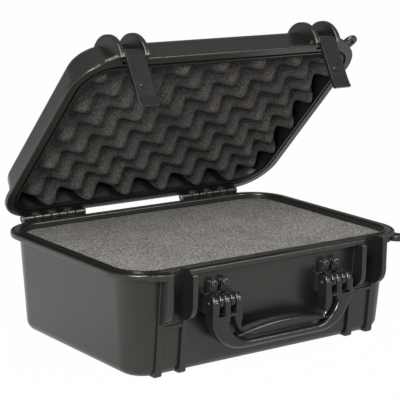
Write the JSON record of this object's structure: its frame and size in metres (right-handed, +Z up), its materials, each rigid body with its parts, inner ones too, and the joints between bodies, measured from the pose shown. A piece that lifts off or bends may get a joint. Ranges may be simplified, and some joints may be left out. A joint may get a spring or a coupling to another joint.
{
  "type": "microphone case",
  "caption": "Black hard-shell carrying case with a hinged lid, two strap latches, a folding handle, padlock lugs, a foam-filled base and egg-crate foam in the lid.",
  "frame": {"origin": "centre of the flat bottom of the base, on the surface that the case stands on", "axes": "+Z up, -Y towards the handle and latches, +X to the right seen from the front, along the case's length"},
  "size_m": [0.36, 0.281, 0.3234],
  "materials": {
    "shell_plastic": "moulded, fine grain, near-black charcoal",
    "gloss_plastic": "smooth black moulded plastic with a soft gloss",
    "seal_rubber": "black sealing ring",
    "foam_base": "medium grey speckled open-cell foam",
    "foam_lid": "dark grey egg-crate open-cell foam",
    "pin_steel": "plain steel pin",
    "screw_black": "black coated domed screw head"
  },
  "bodies": {
    "base": {"base_shell": "shell_plastic", "foam_floor_pad": "foam_base", "foam_block_lower": "foam_base", "foam_block_upper": "foam_base", "hinge_pin_left": "pin_steel", "hinge_pin_right": "pin_steel", "catch_left": "gloss_plastic", "catch_right": "gloss_plastic", "handle_bracket_left": "gloss_plastic", "handle_bracket_right": "gloss_plastic", "handle_pin_left": "pin_steel", "handle_pin_right": "pin_steel", "bracket_screws": "screw_black"},
    "lid": {"lid_shell": "shell_plastic", "lid_seal": "seal_rubber", "lid_foam": "foam_lid", "latch_pin_left": "pin_steel", "latch_pin_right": "pin_steel"},
    "latch_left": {"latch_left": "gloss_plastic"},
    "latch_right": {"latch_right": "gloss_plastic"},
    "handle": {"handle": "gloss_plastic"}
  },
  "joints": [
    {"name": "lid_hinge", "type": "hinge", "parent": "base", "child": "lid", "pos_m": [0, 0.1336, 0.11], "axis": [-1, 0, 0], "range_deg": [-47, 60]},
    {"name": "latch_left_pivot", "type": "hinge", "parent": "lid", "child": "latch_left", "pos_m": [-0.1225, -0.04258, 0.3045], "axis": [-1, 0, 0], "range_deg": [-7, 100]},
    {"name": "latch_right_pivot", "type": "hinge", "parent": "lid", "child": "latch_right", "pos_m": [0.1225, -0.04258, 0.3045], "axis": [-1, 0, 0], "range_deg": [-7, 100]},
    {"name": "handle_pivot", "type": "hinge", "parent": "base", "child": "handle", "pos_m": [0, -0.1305, 0.072], "axis": [-1, 0, 0], "range_deg": [0, 95]}
  ]
}
